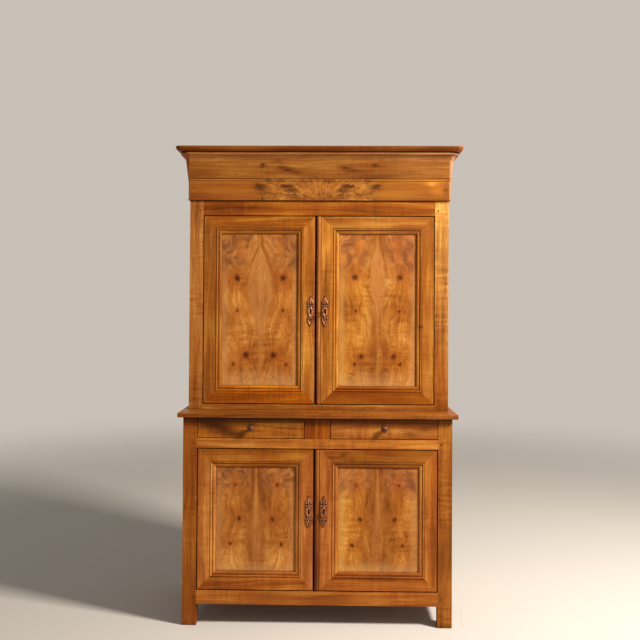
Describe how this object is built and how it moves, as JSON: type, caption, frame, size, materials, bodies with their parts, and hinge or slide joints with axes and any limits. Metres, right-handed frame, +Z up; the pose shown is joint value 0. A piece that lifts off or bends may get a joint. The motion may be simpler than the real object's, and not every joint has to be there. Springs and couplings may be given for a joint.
{
  "type": "two-part buffet cupboard",
  "caption": "Two-part wooden buffet cupboard: a coved upper case with framed burl-panel doors over a deeper lower case with drawers and panelled doors.",
  "frame": {"origin": "centre of the footprint's bounding box, on the floor plane", "axes": "+Z up; -Y is the front with doors and drawers; +X to the viewer's right"},
  "size_m": [1.39, 0.5605, 2.274],
  "materials": {
    "fruitwood": "waxed",
    "figured_panel": "waxed",
    "turned_wood": "polished",
    "secondary_wood": "bare",
    "aged_brass": "patinated",
    "iron": "dark oiled"
  },
  "bodies": {
    "cabinet": {"cornice_moulding": "fruitwood", "cornice_roof_board": "fruitwood", "counter_top": "fruitwood", "drawer_divider": "fruitwood", "drawer_rail": "fruitwood", "drawer_runners": "secondary_wood", "frieze": "figured_panel", "joint_pegs": "fruitwood", "lower_back_boards": "secondary_wood", "lower_bottom_rail": "fruitwood", "lower_floor_board": "secondary_wood", "lower_post_front_left": "fruitwood", "lower_post_front_right": "fruitwood", "lower_shelf": "secondary_wood", "lower_side_panels": "fruitwood", "lower_side_rails": "fruitwood", "pivot_sockets": "iron", "rear_posts": "fruitwood", "shelf_cleats": "secondary_wood", "upper_back_boards": "secondary_wood", "upper_bottom_rail": "fruitwood", "upper_floor_board": "secondary_wood", "upper_post_front_left": "fruitwood", "upper_post_front_right": "fruitwood", "upper_shelves": "secondary_wood", "upper_side_panels": "fruitwood", "upper_side_rails": "fruitwood", "upper_top_rail": "fruitwood"},
    "upper_left_door": {"upper_left_door_frame": "fruitwood", "upper_left_door_ironwork": "iron", "upper_left_door_panel": "figured_panel", "upper_left_escutcheon": "aged_brass"},
    "upper_right_door": {"upper_right_door_astragal": "fruitwood", "upper_right_door_frame": "fruitwood", "upper_right_door_panel": "figured_panel", "upper_right_door_pivots": "iron", "upper_right_escutcheon": "aged_brass", "upper_right_lock_case": "iron"},
    "lower_left_door": {"lower_left_door_frame": "fruitwood", "lower_left_door_ironwork": "iron", "lower_left_door_panel": "figured_panel", "lower_left_escutcheon": "aged_brass"},
    "lower_right_door": {"lower_right_door_astragal": "fruitwood", "lower_right_door_frame": "fruitwood", "lower_right_door_panel": "figured_panel", "lower_right_door_pivots": "iron", "lower_right_escutcheon": "aged_brass", "lower_right_lock_case": "iron"},
    "left_drawer": {"left_drawer_box": "secondary_wood", "left_drawer_front": "fruitwood", "left_drawer_knob": "turned_wood"},
    "right_drawer": {"right_drawer_box": "secondary_wood", "right_drawer_front": "fruitwood", "right_drawer_knob": "turned_wood"},
    "upper_key": {"upper_right_key": "iron"},
    "lower_key": {"lower_right_key": "iron"},
    "upper_lock_bolt": {"upper_right_lock_bolt": "iron"},
    "lower_lock_bolt": {"lower_right_lock_bolt": "iron"},
    "upper_latch": {"upper_left_door_latch": "iron"},
    "lower_latch": {"lower_left_door_latch": "iron"}
  },
  "joints": [
    {"name": "upper_left_door_hinge", "type": "hinge", "parent": "cabinet", "child": "upper_left_door", "pos_m": [-0.55, -0.13175, 1.48108], "axis": [0, 0, -1], "range_deg": [0, 110]},
    {"name": "upper_right_door_hinge", "type": "hinge", "parent": "cabinet", "child": "upper_right_door", "pos_m": [0.55, -0.13175, 1.48108], "axis": [0, 0, 1], "range_deg": [0, 110]},
    {"name": "lower_left_door_hinge", "type": "hinge", "parent": "cabinet", "child": "lower_left_door", "pos_m": [-0.554, -0.24175, 0.53904], "axis": [0, 0, -1], "range_deg": [0, 110]},
    {"name": "lower_right_door_hinge", "type": "hinge", "parent": "cabinet", "child": "lower_right_door", "pos_m": [0.554, -0.24175, 0.53904], "axis": [0, 0, 1], "range_deg": [0, 110]},
    {"name": "left_drawer_slide", "type": "slide", "parent": "cabinet", "child": "left_drawer", "axis": [0, -1, 0], "range_m": [0, 0.32]},
    {"name": "right_drawer_slide", "type": "slide", "parent": "cabinet", "child": "right_drawer", "axis": [0, -1, 0], "range_m": [0, 0.32]},
    {"name": "upper_key_turn", "type": "hinge", "parent": "upper_right_door", "child": "upper_key", "pos_m": [0.0315, -0.13975, 1.48108], "axis": [0, 1, 0], "range_deg": [0, 360]},
    {"name": "upper_lock_bolt_slide", "type": "slide", "parent": "upper_right_door", "child": "upper_lock_bolt", "axis": [-1, 0, 0], "range_m": [0, 0.0161]},
    {"name": "upper_latch_slide", "type": "slide", "parent": "upper_left_door", "child": "upper_latch", "axis": [0, 0, 1], "range_m": [0, 0.012]},
    {"name": "lower_key_turn", "type": "hinge", "parent": "lower_right_door", "child": "lower_key", "pos_m": [0.0315, -0.24975, 0.53904], "axis": [0, 1, 0], "range_deg": [0, 360]},
    {"name": "lower_lock_bolt_slide", "type": "slide", "parent": "lower_right_door", "child": "lower_lock_bolt", "axis": [-1, 0, 0], "range_m": [0, 0.0161]},
    {"name": "lower_latch_slide", "type": "slide", "parent": "lower_left_door", "child": "lower_latch", "axis": [0, 0, 1], "range_m": [0, 0.012]}
  ],
  "couplings": [
    {"joint": "upper_lock_bolt_slide", "follows": "upper_key_turn", "m_per_rad": 0.0025465},
    {"joint": "lower_lock_bolt_slide", "follows": "lower_key_turn", "m_per_rad": 0.0025465}
  ]
}
